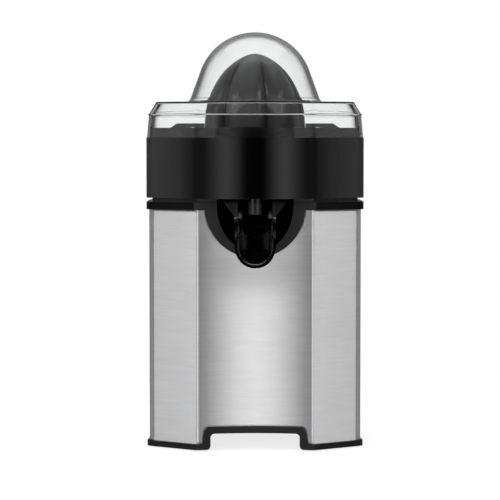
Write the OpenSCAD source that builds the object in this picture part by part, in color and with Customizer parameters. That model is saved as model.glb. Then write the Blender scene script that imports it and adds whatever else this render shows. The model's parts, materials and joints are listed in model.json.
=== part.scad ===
/* [Housing] */
// Width of the steel housing across its two sides
body_w = 151; // [146:0.5:160]
// Distance from the spindle axis forward to the middle of the scooped front panel
front_reach = 34.5; // [33.5:0.5:36]
// Distance from the spindle axis back to the rear of the steel housing
back_reach = 74.7; // [72:0.1:84]
// Distance between the two upright edges of the scooped front panel
scoop_w = 82; // [78:0.5:86]
// How far the front panel is scooped in between its two edges
scoop_depth = 6; // [4:0.5:8]
// Angle of the two slanted front panels, turned back from the front
panel_angle = 33.5; // [30:0.5:37]
// Radius of the bent upright edges beside the scoop
arris_r = 3; // [2:0.5:5]
// Radius of the corners between the slanted panels and the sides
side_corner_r = 8.5; // [6:0.5:12]
// Radius of the two rear corners
rear_corner_r = 36; // [26:1:44]
// Thickness of the steel sheet
sheet = 0.8; // [0.6:0.1:1.2]
// Height of the steel sleeve
sleeve_h = 164.8; // [160:0.1:172]

/* [Base] */
// How far the rubber feet stand below the base tray
foot_proud = 1; // [0.8:0.1:2]
// Radius of a rubber foot
foot_r = 6; // [4:0.5:7]
// Height of the black trim under the steel
trim_h = 4.2; // [3.8:0.1:6]
// How far the base trim stands out from the steel
trim_out = 2.3; // [1.5:0.1:3]
// Width of the arch in the front of the base trim
arch_w = 63; // [56:1:66]
// Height of the arch in the front of the base trim
arch_h = 11.3; // [9:0.1:12]
// Width of the black frame around the arch
arch_frame = 4.6; // [3.5:0.1:5.5]
// Radius of the hole for the mains lead
lead_r = 3.5; // [3:0.1:4]

/* [Deck and apron] */
// Height of the deck's visible lip
lip_h = 5.5; // [4.5:0.1:6.5]
// How far the lip stands out from the steel
lip_out = 2; // [1.5:0.1:2.8]
// Outer radius of the half round apron under the lip
apron_r = 35; // [34:0.5:37]
// Half width of the recess inside the apron
recess_a = 27; // [25:0.5:28]
// Depth of the recess below the deck's top
recess_b = 35.5; // [34:0.5:36]
// How far the recess reaches back from the front panel
recess_deep = 18; // [15:0.5:20]

/* [Juice collector] */
// Height of the groove between the deck and the collector
groove_h = 2.7; // [2:0.1:4]
// Height of the collector's black band
band_h = 42.7; // [41:0.1:48]
// Outer radius of the round bowl at the collector's front
bowl_r = 60; // [59:0.5:62]
// Wall thickness of the moulded collector
bowl_wall = 2.6; // [2:0.1:3.2]
// Height of the raised rim inside the cover's skirt
rim_rise = 6.9; // [5:0.1:9]
// Slope of the collector's floor towards the outlet
floor_slope = 2; // [1:0.5:3]
// Inner radius of the outlet nozzle
outlet_r = 3.6; // [3:0.1:4.6]

/* [Basket and reamer] */
// Gap from the bowl's outside in to the pulp basket's rim
basket_gap = 14.7; // [14:0.1:16]
// Depth of the pulp basket
basket_deep = 32.3; // [30:0.1:33]
// Number of slots in the basket's floor
slot_count = 20; // [12:1:28]
// Gap from the basket's rim in to the reamer's lower edge
reamer_gap = 8.8; // [7.8:0.1:11.3]
// Height of the reamer from its lower edge to its tip
reamer_h = 73.4; // [68:0.2:75]
// Depth of the reamer's valleys, as a share of its radius
valley = 0.15; // [0.08:0.01:0.2]
// How far the reamer goes down when fruit is pressed on it
press_travel = 3; // [2:0.5:3]
// Radius of the steel spindle
spindle_r = 5; // [4.5:0.1:5.5]
// Radius of the push rod inside the spindle
rod_r = 2; // [1.5:0.1:2.2]

/* [Dust cover] */
// Wall thickness of the clear cover
cover_wall = 1.6; // [1.4:0.1:2.6]
// Height of the cover's upright skirt
skirt_h = 16.3; // [14:0.1:20]
// Height of the slanted edge above the skirt
slant_h = 9.1; // [6:0.1:11]
// Width of the slanted edge above the skirt
slant_w = 5.3; // [4:0.1:5.8]
// Height of the dome above the cover's shoulder
dome_h = 50; // [48.5:0.1:56]
// Gap from the bowl's outside in to the round top of the dome
dome_gap = 18.5; // [17:0.1:19.5]

/* [Spout] */
// How far the spout's lip stands out from the bowl
spout_out = 17; // [14:0.5:22]
// Half width of the spout outside
spout_half = 14.1; // [13.6:0.1:15.4]
// Wall thickness of the spout
spout_wall = 2.6; // [2:0.1:2.8]
// Drop from the pivot down to the underside of the spout's lip
spout_drop = 34.4; // [32:0.2:36]
// Slope of the spout's floor
spout_slope = 24; // [20:1:28]
// Radius of the two spout pins
pin_r = 1.5; // [1.2:0.1:1.8]

/* [Drive] */
// Gear module of the first stage
module_a = 0.6; // [0.55:0.01:0.62]
// Gear module of the second stage
module_b = 0.75; // [0.7:0.01:0.77]
// Distance from the spindle axis back to the motor axis
motor_back = 34; // [32:0.5:36]
// Height of the chassis plate's underside above the floor
chassis_z = 90; // [86:1:100]
// Radius of the rotor magnet
magnet_r = 12.4; // [11:0.2:13]
// Height of the stator's sheet stack
stack_h = 20; // [16:1:22]

/* [Hidden] */
$fn = 64;

// Clearances: a sliding gap between moulded pieces, a running fit and a loose hole
slide_gap = 0.3;
run_gap = 0.06;
loose_gap = 0.3;
// A small reach past a face, so that a cut leaves no skin
past = 1;

// Levels from the floor upwards
tray_z = foot_proud;
sleeve_z = tray_z + trim_h;
lip_z = sleeve_z + sleeve_h;
deck_z = lip_z + lip_h;
band_z = deck_z + groove_h;
step_z = band_z + band_h;
rim_z = step_z + rim_rise;
slant_z = step_z + skirt_h;
shoulder_z = slant_z + slant_h;
dome_z = shoulder_z + dome_h;

// Sizes that follow the bowl
basket_r = bowl_r - basket_gap;
reamer_r = basket_r - reamer_gap;
dome_r = bowl_r - dome_gap;
spout_reach = bowl_r + spout_out;

// Housing outline: the slanted panel's line, its outward normal and the scoop's circle
half_w = body_w / 2;
arris = [scoop_w / 2, -(front_reach + scoop_depth)];
along = [cos(panel_angle), sin(panel_angle)];
outward = [sin(panel_angle), -cos(panel_angle)];
outward_a = panel_angle - 90;
scoop_r = (pow(scoop_w / 2, 2) + pow(scoop_depth, 2)) / (2 * scoop_depth);
scoop_c = [0, -(front_reach + scoop_r)];

// Points of an arc about a centre, from one angle to another
function arc(c, r, a, b, n) = [for (i = [0:n]) c + r * [cos(a + (b - a) * i / n), sin(a + (b - a) * i / n)]];
// The same points on the other side of the middle plane, in the other order
function mirrored(p) = [for (i = [len(p) - 1:-1:0]) [-p[i].x, p[i].y]];
// Distance along the slanted panel's line at which a point is at a given distance from a centre
function reach(p, c, r) = let (w = p - c, k = w * along) sqrt(k * k - w * w + r * r) - k;
function angle_of(v) = atan2(v.y, v.x);

// The side and rear part of every outline, at an offset from the steel's outer face
side_c = [half_w - side_corner_r,
    arris.y + ((half_w - side_corner_r - arris.x) * outward.x + side_corner_r) / -outward.y];
rear_c = [half_w - rear_corner_r, back_reach - rear_corner_r];
function sides(d) = concat(arc(side_c, side_corner_r + d, outward_a, 0, 6),
    arc(rear_c, rear_corner_r + d, 0, 90, 10));

// Housing outline with the scooped front, at an offset from the steel's outer face
function housing(d) =
    let (bend = max(arris_r + d, 0.6),
        base = bend - d,
        start = arris - base * outward,
        centre = start + reach(start, scoop_c, scoop_r + base) * along,
        meet = angle_of(centre - scoop_c),
        half = concat([for (i = [1:6]) scoop_c + (scoop_r - d) *
                [cos(90 + (meet - 90) * i / 6.2), sin(90 + (meet - 90) * i / 6.2)]],
            arc(centre, bend, meet - 180, outward_a, 4), sides(d)))
    concat([[0, -front_reach - d]], half, mirrored(half));

// Collector outline with the round bowl at its front, at an offset from the band's outer face
function band(e) =
    let (d = lip_out + e,
        start = arris + d * outward,
        crease = start + reach(start, [0, 0], bowl_r + e) * along,
        half = concat([for (i = [1:12]) (bowl_r + e) *
                [cos(-90 + (angle_of(crease) + 90) * i / 12), sin(-90 + (angle_of(crease) + 90) * i / 12)]],
            sides(d)))
    concat([[0, -bowl_r - e]], half, mirrored(half));

// Cover outline: the same bowl and panels with a soft blend in the crease
blend_r = 24;
function soft_band(e) =
    let (d = lip_out + e,
        start = arris + (d + blend_r) * outward,
        centre = start + reach(start, [0, 0], bowl_r + e + blend_r) * along,
        meet = angle_of(centre),
        half = concat([for (i = [1:11]) (bowl_r + e) *
                [cos(-90 + (meet + 90) * i / 11.2), sin(-90 + (meet + 90) * i / 11.2)]],
            arc(centre, blend_r, meet + 180, outward_a + 180, 3), sides(d)))
    concat([[0, -bowl_r - e]], half, mirrored(half));

module slab(outline, z, h) { translate([0, 0, z]) linear_extrude(h) polygon(outline); }
module tube(outer, inner, z, h) {
    translate([0, 0, z]) linear_extrude(h) difference() { polygon(outer); polygon(inner); }
}
module rod(p, r, z, h) { translate([p.x, p.y, z]) cylinder(r = r, h = h); }
module ring(p, r_out, r_in, z, h) {
    difference() {
        rod(p, r_out, z, h);
        rod(p, r_in, z - past, h + 2 * past);
    }
}
// A flat shape drawn in X and Z, standing upright between two values of Y
module upright(y_from, y_to) { translate([0, y_to, 0]) rotate([90, 0, 0]) linear_extrude(y_to - y_from) children(); }
// A flat shape drawn in Y and Z, standing upright between two values of X
module side_cut(x_from, x_to) {
    translate([x_from, 0, 0]) rotate([90, 0, 90]) linear_extrude(x_to - x_from) children();
}
module both_sides() {
    children();
    mirror([1, 0, 0]) children();
}
// A screw with its head below or above its shank
module screw(p, shank_r, head_r, head_h, z_head, z_tip) {
    up = z_tip > z_head;
    rod(p, head_r, up ? z_head : z_head - head_h, head_h);
    rod(p, shank_r, up ? z_head + head_h : z_tip, abs(z_tip - z_head) - head_h);
}

// Places of the posts, rods, feet and screws
tie_gap = 9;
tie_gap_rear = 13;
tie_front_y = 8;
tie_rear_y = 46;
tie_places = [for (s = [-1, 1]) each [[s * (half_w - tie_gap), tie_front_y], [s * (half_w - tie_gap_rear), tie_rear_y]]];
post_x = 46;
post_front_y = -12;
post_rear_y = 46;
post_places = [for (s = [-1, 1], y = [post_front_y, post_rear_y]) [s * post_x, y]];
foot_front_gap = 15;
foot_front_y = -9;
foot_rear_gap = 36;
foot_back_gap = 12;
foot_places = concat([for (s = [-1, 1]) [s * (half_w - foot_front_gap), foot_front_y]],
    [for (s = [-1, 1]) [s * (half_w - foot_rear_gap), back_reach - foot_back_gap]]);
plate_c_y = 22;
plate_c = [0, plate_c_y];
plate_r = 32;
plate_edge = 5;
plate_screw_places = [for (a = [45:90:315]) plate_c + (plate_r - plate_edge) * [cos(a), sin(a)]];

// Base tray levels
tray_floor_z = tray_z + arch_h + 1.8;
tray_floor_h = 2.5;
tray_wall = 2.5;
tray_top_z = tray_floor_z + tray_floor_h;
spigot_h = 8;
inside = -(sheet + slide_gap / 2);
arch_top_z = tray_z + arch_h + arch_frame;
gland_z = tray_top_z + 9;
gland_half = 13;
gland_top_z = gland_z + 11;
gland_seat_r = lead_r + 2.4;

// Brushed steel wrap of the housing, open at the arch, at the apron and at the lead's block
module steel_sleeve() {
    color("silver") difference() {
        tube(housing(0), housing(-sheet), sleeve_z, sleeve_h);
        upright(-front_reach - 40, 0) arch_outer(slide_gap / 2);
        upright(-front_reach - 40, 0) translate([0, apron_z]) circle(r = sleeve_cut_r);
        upright(back_reach - 20, back_reach + 20) gland_block(slide_gap / 2);
    }
}

// The arch's frame, wider at its foot, and the block that carries the lead's gland
arch_flare = 2;
module arch_outer(gap) {
    top = arch_w / 2 + arch_frame - 0.6 + gap;
    polygon([[-top - arch_flare, 0], [top + arch_flare, 0], [top, arch_top_z - 2], [top - 2, arch_top_z + gap],
        [-top + 2, arch_top_z + gap], [-top, arch_top_z - 2]]);
}
module arch_inner() {
    half = arch_w / 2;
    corner = 3;
    foot = 2.6;
    polygon(concat([[-half - foot, -past], [half + foot, -past]],
        arc([half + foot, tray_z + foot], foot, 270, 180, 5),
        arc([half - corner, tray_z + arch_h - corner], corner, 0, 90, 5),
        arc([corner - half, tray_z + arch_h - corner], corner, 90, 180, 5),
        arc([-half - foot, tray_z + foot], foot, 0, -90, 5)));
}
module gland_block(gap) {
    translate([-gland_half - gap, 0]) square([2 * (gland_half + gap), gland_top_z + gap]);
}

// Black base tray: trim, arch frame, floor, bosses for the tie rods and pads for the feet
boss_r = 5;
rod_thread_r = 2;
// What is taken off the trim beside the front corners, so that it fades out along the sides
trim_side = body_w / 2 + 0.5;
trim_edge = body_w / 2 + trim_out;
trim_taper = [[trim_edge + 1, -front_reach + 10], [trim_edge, -front_reach + 10.5],
    [trim_side, -front_reach + 26], [trim_side, back_reach - 40], [trim_edge + 1, back_reach - 30]];
module base_tray() {
    color("#1b1b1d") difference() {
        union() {
            difference() {
                tube(housing(trim_out), housing(-tray_wall - 1.5), tray_z, trim_h);
                both_sides() slab(trim_taper, tray_z - past, trim_h + 2 * past);
            }
            tube(housing(inside), housing(inside - tray_wall), tray_z, tray_top_z + spigot_h - tray_z);
            slab(housing(inside), tray_floor_z, tray_floor_h);
            intersection() {
                tube(housing(lip_out), housing(inside - tray_wall), tray_z, arch_top_z);
                upright(-front_reach - 40, 0) arch_outer(0);
            }
            intersection() {
                tube(housing(trim_out), housing(inside - tray_wall), tray_z, gland_top_z);
                upright(back_reach - 20, back_reach + 20) gland_block(0);
            }
            for (p = tie_places) rod(p, boss_r, tray_floor_z - 3, spigot_h);
            for (p = foot_places) rod(p, foot_r + 2, tray_z, tray_floor_z - tray_z + 1);
            for (p = plate_screw_places) rod(p, 4, tray_floor_z, 8);
        }
        upright(-front_reach - 40, -front_reach + 20) arch_inner();
        for (p = tie_places) rod(p, rod_thread_r + 0.1, 0, 60);
        for (p = foot_places) rod(p, foot_r, tray_z - past, past + foot_seat);
        for (p = plate_screw_places) rod(p, plate_screw_r, tray_floor_z - past, 8);
        rod(plate_c, plate_r - 10, tray_floor_z - past, tray_floor_h + 2 * past);
        translate([0, back_reach + 20, gland_z]) rotate([90, 0, 0]) cylinder(r = gland_seat_r, h = 60);
    }
}

// Round cover under the base with cooling slots
plate_screw_r = 1.5;
plate_h = 2.5;
vent_pitch = 4;
vent_w = 2;
vent_len = 22;
module bottom_plate() {
    color("#232326") difference() {
        rod(plate_c, plate_r, tray_floor_z - plate_h, plate_h);
        for (p = plate_screw_places) rod(p, plate_screw_r + 0.1, 0, tray_top_z);
        for (i = [-3:3])
            translate([plate_c.x + i * vent_pitch - vent_w / 2, plate_c.y - vent_len / 2, 0])
                cube([vent_w, vent_len, tray_top_z]);
    }
}
module bottom_screws() {
    color("gray") for (p = plate_screw_places)
        screw(p, plate_screw_r, 3, 2, tray_floor_z - plate_h - 2, tray_floor_z + 6);
}

// Soft feet pressed into the tray's pads
foot_seat = 3;
module rubber_feet() {
    color("#2a2a2a") for (p = foot_places) rod(p, foot_r, 0, tray_z + foot_seat);
}

// Rubber bush for the mains lead in the rear block
gland_flange = 1.6;
module cord_gland() {
    y_out = back_reach + trim_out;
    y_in = back_reach + inside - tray_wall;
    color("#202020") translate([0, y_out, gland_z]) rotate([90, 0, 0]) difference() {
        union() {
            cylinder(r = gland_seat_r, h = y_out - y_in + gland_flange);
            translate([0, 0, y_out - y_in]) cylinder(r = gland_seat_r + 1.6, h = gland_flange);
        }
        translate([0, 0, -past]) cylinder(r = lead_r, h = 60);
    }
}

// Screw terminals for the lead, standing on the tray's floor
module terminal_block() {
    size = [24, 10, 11];
    color("ivory") translate([-size.x / 2, back_reach - 26, tray_top_z]) difference() {
        cube(size);
        for (i = [0:2]) translate([5 + i * 7, -past, 6]) rotate([-90, 0, 0]) cylinder(r = 1.8, h = size.y + 2 * past);
    }
}

// Deck: lip, top plate, apron with its recess, tube for the spindle and posts for the chassis
apron_z = lip_z + 1.2;
apron_out = 1.8;
sleeve_cut_r = apron_r - 1.6;
deck_plate = 3;
deck_wall = 2.5;
recess_wall = 1.6;
recess_z = deck_z - 2.3;
recess_back = -front_reach + recess_deep;
tube_wall = 2;
bush_r = spindle_r + 2;
tube_r = bush_r + tube_wall;
tube_top_z = deck_z + 22;
post_r = 5;
post_thread_r = 1.5;
module recess_shape(grow) {
    a = recess_a + grow;
    b = recess_b - 2.3 + grow;
    polygon(concat([[a, 20], [-a, 20]], [for (i = [0:16]) [-a * cos(i * 180 / 16), -b * sin(i * 180 / 16)]]));
}
module top_deck() {
    color("#1d1d20") difference() {
        union() {
            tube(housing(lip_out), housing(inside - deck_wall), lip_z, lip_h);
            tube(housing(inside), housing(inside - deck_wall), lip_z - 9, 9);
            slab(housing(inside), deck_z - deck_plate, deck_plate);
            intersection() {
                tube(housing(apron_out), housing(inside - deck_wall), apron_z - apron_r - 2, apron_r + 2);
                upright(-front_reach - 40, 0) translate([0, apron_z]) circle(r = apron_r);
                apron_shell();
            }
            intersection() {
                slab(housing(inside), recess_z - recess_b - 5, deck_z - recess_z + recess_b + 5);
                upright(-front_reach - 40, recess_back + recess_wall) translate([0, recess_z]) recess_shape(recess_wall);
            }
            rod([0, 0], tube_r, deck_z - 6, tube_top_z - deck_z + 6);
            for (p = post_places) rod(p, post_r, chassis_z + chassis_h, deck_z - chassis_z - chassis_h - 1);
            for (p = tie_places) rod(p, boss_r, lip_z - 14, deck_z - lip_z + 13);
        }
        upright(-front_reach - 40, recess_back) translate([0, recess_z]) recess_shape(0);
        rod([0, 0], bush_r, deck_z - 7, tube_top_z);
        for (p = post_places) rod(p, post_thread_r, chassis_z, 30);
        for (p = tie_places) rod(p, rod_thread_r, 0, deck_z - deck_plate - 1);
    }
}
// The apron lies on the steel outside, and fits the sleeve's round cut inside
module apron_shell() {
    tube(housing(apron_out + 1), housing(0), lip_z - 60, 80);
    upright(-front_reach - 40, 0) translate([0, apron_z]) circle(r = sleeve_cut_r - slide_gap);
}

// Tie rods that draw the deck and the tray together over the steel
module tie_rods() {
    color("darkgray") for (p = tie_places)
        screw(p, rod_thread_r, 4, 3, tray_floor_z - 6, lip_z - 2);
}

// Drive layout
chassis_h = 3;
teeth_rotor = 14;
teeth_idler = 60;
teeth_pinion = 15;
teeth_output = 60;
span_a = module_a * (teeth_rotor + teeth_idler) / 2;
span_b = module_b * (teeth_pinion + teeth_output) / 2;
motor_c = [0, motor_back];
idler_y = (span_b * span_b - span_a * span_a + motor_back * motor_back) / (2 * motor_back);
idler_c = [-sqrt(span_b * span_b - idler_y * idler_y), idler_y];
case_floor = 2.5;
case_wall = 2;
case_z = chassis_z + chassis_h;
gear_b_z = case_z + case_floor + 2.5;
gear_b_h = 7;
gear_a_z = gear_b_z + gear_b_h + 1.5;
gear_a_h = 5;
case_split_z = gear_b_z + gear_b_h;
case_top_z = gear_a_z + gear_a_h + 1.5 + case_floor;
gear_room = 1.2;
output_room = module_b * teeth_output / 2 + module_b + gear_room;
idler_room = module_a * teeth_idler / 2 + module_a + gear_room;
rotor_room = module_a * teeth_rotor / 2 + module_a + gear_room + 1;
ear_r = 4.5;
ear_gap = 3.4;
ear_places = [
    (output_room + case_wall + ear_gap) * [cos(-20), sin(-20)],
    (output_room + case_wall + ear_gap) * [cos(-160), sin(-160)],
    motor_c + [rotor_room + case_wall + ear_gap + 2.1, 0],
    idler_c + (idler_room + case_wall + ear_gap) * [cos(150), sin(150)]];
case_screw_r = 1.5;

// Plate that carries the motor below it and the gear case on top
chassis_half = post_x + 6;
chassis_front = post_front_y - 15.5;
chassis_back = post_rear_y + 6.5;
stack_gap = 8;
stack_z = chassis_z - stack_gap - stack_h;
bolt_x = 21;
bolt_front_y = -23;
bolt_rear_gap = 13;
bolt_places = [for (s = [-1, 1], y = [bolt_front_y, motor_back + bolt_rear_gap]) [s * bolt_x, y]];
bolt_r = 2;
rotor_bush_r = 3.5;
switch_bore = 2.8;
module chassis_plate() {
    color("slategray") difference() {
        union() {
            translate([-chassis_half, chassis_front, chassis_z])
                cube([2 * chassis_half, chassis_back - chassis_front, chassis_h]);
            for (p = bolt_places) rod(p, 4.5, stack_z + stack_h, chassis_z - stack_z - stack_h + chassis_h);
        }
        for (p = bolt_places) rod(p, bolt_r, stack_z, 60);
        for (p = post_places) rod(p, post_thread_r + 0.1, chassis_z - past, 20);
        for (p = ear_places) rod(p, case_screw_r, chassis_z - past, 20);
        rod(motor_c, rotor_bush_r, chassis_z - past, 20);
        rod([0, 0], switch_bore + 1, chassis_z - past, 20);
    }
}
module chassis_screws() {
    color("gray") for (p = post_places)
        screw(p, post_thread_r, 3.2, 2.2, chassis_z - 2.2, chassis_z + 20);
}

// Laminated stator with two arms, two poles around the rotor and four bolt holes
arm_in = 12;
arm_out = 25;
window = [-15, motor_back - 14];
stator_y = [-27, motor_back + 17];
pole_gap = 0.6;
module stator_core() {
    color("dimgray") difference() {
        translate([-arm_out, stator_y[0], stack_z]) cube([2 * arm_out, stator_y[1] - stator_y[0], stack_h]);
        translate([-arm_in, window[0], stack_z - past]) cube([2 * arm_in, window[1] - window[0], stack_h + 2 * past]);
        rod(motor_c, magnet_r + pole_gap, stack_z - past, stack_h + 2 * past);
        translate([-1.5, window[1] - past, stack_z - past]) cube([3, 60, stack_h + 2 * past]);
        for (p = bolt_places) rod(p, bolt_r + 0.05, stack_z - past, stack_h + 2 * past);
    }
}

// A square sleeve around one arm, for the bobbins and the windings
module arm_sleeve(from_gap, to_gap, y_from, y_to) {
    wide = arm_out - arm_in;
    translate([(arm_in + arm_out) / 2, y_from, stack_z + stack_h / 2]) difference() {
        translate([-wide / 2 - to_gap, 0, -stack_h / 2 - to_gap])
            cube([wide + 2 * to_gap, y_to - y_from, stack_h + 2 * to_gap]);
        translate([-wide / 2 - from_gap, -past, -stack_h / 2 - from_gap])
            cube([wide + 2 * from_gap, y_to - y_from + 2 * past, stack_h + 2 * from_gap]);
    }
}
bobbin_gap = 0.15;
bobbin_wall = 1;
cheek = 1.2;
coil_thick = 3.6;
module coil_bobbins() {
    first = window[0] + bobbin_gap;
    last = window[1] - bobbin_gap;
    color("wheat") both_sides() {
        arm_sleeve(bobbin_gap, bobbin_gap + bobbin_wall, first, last);
        arm_sleeve(bobbin_gap, bobbin_gap + bobbin_wall + coil_thick, first, first + cheek);
        arm_sleeve(bobbin_gap, bobbin_gap + bobbin_wall + coil_thick, last - cheek, last);
    }
}
module stator_coils() {
    grip = bobbin_gap + bobbin_wall;
    color("#b06a34") both_sides() arm_sleeve(grip, grip + coil_thick - 0.3, window[0] + bobbin_gap + cheek,
        window[1] - bobbin_gap - cheek);
}

// Strap under the rear of the stator that holds the rotor's lower bush
strap_h = 3;
strap_z = stack_z - strap_h;
bush_len = 6;
module rotor_strap() {
    color("slategray") difference() {
        union() {
            translate([-arm_out, motor_back - 11, strap_z]) cube([2 * arm_out, 28, strap_h]);
            rod(motor_c, rotor_bush_r + 2, strap_z - 4, strap_h + 4);
        }
        rod(motor_c, rotor_bush_r, strap_z - 4 - past, 20);
        for (p = bolt_places) rod(p, bolt_r + 0.05, strap_z - past, 20);
    }
}
module stator_bolts() {
    color("gray") for (p = bolt_places) {
        seat = p.y > 0 ? strap_z : stack_z;
        screw(p, bolt_r, 3.6, 2.8, seat - 2.8, chassis_z + chassis_h);
    }
}
module rotor_bushes() {
    color("goldenrod") {
        ring(motor_c, rotor_bush_r, shaft_r + run_gap, strap_z - 4, bush_len);
        ring(motor_c, rotor_bush_r, shaft_r + run_gap, chassis_z, chassis_h + 1);
    }
}

// Rotor: magnet, shaft and motor pinion
shaft_r = 2;
module rotor_magnet() {
    color("#3a3a3f") ring(motor_c, magnet_r, shaft_r, stack_z + 0.5, stack_h - 0.5);
}
module rotor_shaft() {
    color("lightgray") rod(motor_c, shaft_r, strap_z - 4.5, gear_a_z + gear_a_h + 1 - strap_z + 4.5);
}

// Involute gear: the tooth's half angle at a radius, then one tooth's two flanks
pressure = 20;
function involute(a) = tan(a) * 180 / PI - a;
function half_tooth(teeth, m, r, slack) =
    let (pitch = m * teeth / 2, base = pitch * cos(pressure))
    90 / teeth - slack / pitch * 90 / PI + involute(pressure) - involute(acos(min(1, base / max(r, base))));
module gear_plate(teeth, m, h, bore, turn) {
    pitch = m * teeth / 2;
    low = pitch - 1.05 * m;
    high = pitch + 0.8 * m;
    base = max(low, pitch * cos(pressure));
    slack = 0.16 * m;
    radii = [low, base, (base + high) / 2, high];
    flank = [for (r = radii) [r, half_tooth(teeth, m, r, slack)]];
    points = [for (t = [0:teeth - 1], s = [-1, 1], i = [0:3])
        let (f = flank[s < 0 ? i : 3 - i], a = turn + t * 360 / teeth + s * f[1]) f[0] * [cos(a), sin(a)]];
    difference() {
        linear_extrude(h) polygon(points);
        translate([0, 0, -past]) cylinder(r = bore, h = h + 2 * past);
    }
}
to_idler = angle_of(idler_c);
to_rotor = angle_of(motor_c - idler_c);
module motor_pinion() {
    color("goldenrod") translate([motor_c.x, motor_c.y, gear_a_z - 0.5])
        gear_plate(teeth_rotor, module_a, gear_a_h + 1, shaft_r, to_rotor + 180 + 180 / teeth_rotor);
}
module idler_gear() {
    color("white") translate([idler_c.x, idler_c.y, 0]) {
        translate([0, 0, gear_b_z - 0.5])
            gear_plate(teeth_pinion, module_b, gear_a_z - gear_b_z + 1, shaft_r + run_gap, to_idler + 180 + 180 / teeth_pinion);
        translate([0, 0, gear_a_z])
            gear_plate(teeth_idler, module_a, gear_a_h, shaft_r + run_gap, to_rotor);
    }
}
module output_gear() {
    color("white") {
        translate([0, 0, gear_b_z]) gear_plate(teeth_output, module_b, gear_b_h, spindle_r, to_idler);
        ring([0, 0], spindle_r + 3, spindle_r, gear_b_z + gear_b_h, 3);
    }
}
module idler_pin() {
    color("lightgray") rod(idler_c, shaft_r, case_z, case_top_z - case_z - 0.5);
}

// Two halves of the gear case, with ears for four screws
module case_outline(grow) {
    hull() {
        circle(r = output_room + grow, $fn = 32);
        translate(idler_c) circle(r = idler_room + grow, $fn = 32);
        translate(motor_c) circle(r = rotor_room + grow, $fn = 32);
    }
}
module case_shell(z, h) {
    translate([0, 0, z]) linear_extrude(h) case_outline(case_wall);
    for (p = ear_places) rod(p, ear_r, z, h);
}
module gear_case() {
    color("#4a4a4e") difference() {
        case_shell(case_z, case_split_z - case_z);
        translate([0, 0, case_z + case_floor]) linear_extrude(40) case_outline(0);
        for (p = ear_places) rod(p, case_screw_r + 0.1, 0, 200);
        rod([0, 0], bush_r, 0, 200);
        rod(motor_c, rotor_bush_r + 1.5, 0, 200);
        rod(idler_c, shaft_r, 0, 200);
    }
}
ear_top_z = case_split_z + 4;
module gear_case_cover() {
    color("#545458") difference() {
        case_shell(case_split_z, case_top_z - case_split_z);
        translate([0, 0, case_split_z - past]) linear_extrude(case_top_z - case_floor - case_split_z + past) case_outline(0);
        for (p = ear_places) {
            rod(p, case_screw_r + 0.1, 0, 200);
            rod(p, ear_r + 0.1, ear_top_z, 100);
        }
        rod([0, 0], spindle_r + loose_gap, 0, 200);
        rod(idler_c, shaft_r, 0, case_top_z - 0.4);
    }
}
module gear_case_screws() {
    color("gray") for (p = ear_places) screw(p, case_screw_r, 3, 2, ear_top_z + 2, chassis_z);
}

// Hollow spindle with a hexagon end, its bushes, clip and seal
spindle_z = case_z + 0.5;
hex_z = tube_top_z + 9;
hex_flat = 8;
hex_top_z = hex_z + 31;
rod_bore = rod_r + run_gap;
module hexagon(flat, z, h) { translate([0, 0, z]) rotate([0, 0, 30]) cylinder(r = flat / 2 / cos(30), h = h, $fn = 6); }
module spindle() {
    color("lightgray") difference() {
        union() {
            rod([0, 0], spindle_r, spindle_z, hex_z - spindle_z);
            hexagon(hex_flat, hex_z - past, hex_top_z - hex_z + past);
        }
        rod([0, 0], rod_bore, spindle_z - past, hex_top_z - spindle_z + 2 * past);
    }
}
module spindle_clip() {
    color("gray") difference() {
        ring([0, 0], spindle_r + 2.2, spindle_r, gear_b_z - 0.9, 0.8);
        translate([-1.2, 0, gear_b_z - 0.9 - past]) cube([2.4, 20, 3]);
    }
}
module spindle_bush_lower() {
    color("goldenrod") ring([0, 0], bush_r, spindle_r + run_gap, case_z, case_floor + 1);
}
module spindle_bush_upper() {
    color("goldenrod") ring([0, 0], bush_r, spindle_r + run_gap, deck_z - 5, tube_top_z - deck_z + 3);
}
module shaft_seal() {
    color("#303030") {
        ring([0, 0], bush_r, spindle_r + run_gap, tube_top_z - 2, 2);
        ring([0, 0], tube_r, spindle_r + run_gap, tube_top_z, 1);
    }
}

// Push switch below the spindle, its plunger, and the rod that works it
switch_size = [9, 22, 20];
plunger_r = switch_bore - 0.3;
plunger_top_z = case_z - 0.3;
push_rod_z = case_z;
module switch_body() {
    color("#26262a") difference() {
        translate([-switch_size.x / 2, -switch_size.y / 2, chassis_z - switch_size.z]) cube(switch_size);
        rod([0, 0], plunger_r + run_gap, chassis_z - 12, 20);
    }
}
module switch_plunger() {
    color("firebrick") rod([0, 0], plunger_r, chassis_z - 12 + press_travel + slide_gap,
        plunger_top_z - chassis_z + 12 - press_travel - slide_gap);
}
module push_rod() {
    color("lightgray") rod([0, 0], rod_r, push_rod_z, socket_top_z - slide_gap - push_rod_z);
}

// Collector: band, sloped floor, raised rim, centre tube, basket seat, nozzle and spout ears
rim_gap = 0.45;
cover_in = 0.5;
skirt_draft = 1.4;
rim_out = -(cover_in + cover_wall + skirt_draft * rim_rise / skirt_h + rim_gap);
rim_wall = 2.2;
ledge_h = 2.4;
floor_h = 2.5;
neck_in = -2.2;
tube_gap = 0.5;
centre_r = tube_r + tube_gap;
centre_wall = 2;
centre_top_z = tube_top_z + 3;
hub_gap = 0.5;
hub_r = centre_r + centre_wall + hub_gap;
hub_wall = 2;
basket_z = rim_z - basket_deep;
selector_h = 2.4;
hub_low = selector_h + 1.3;
seat_z = basket_z - hub_low;
outlet_y = -(bowl_r - 15);
nozzle_wall = 1.2;
pivot = [-(bowl_r - 17.5), deck_z - 9.8];
nozzle_z = pivot[1] + 1.6;
ear_in = spout_half - spout_wall + 0.7;
ear_thick = 2.4;
eye_r = 4.6;
gusset_w = 9;
gusset_thick = 2.4;
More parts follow.
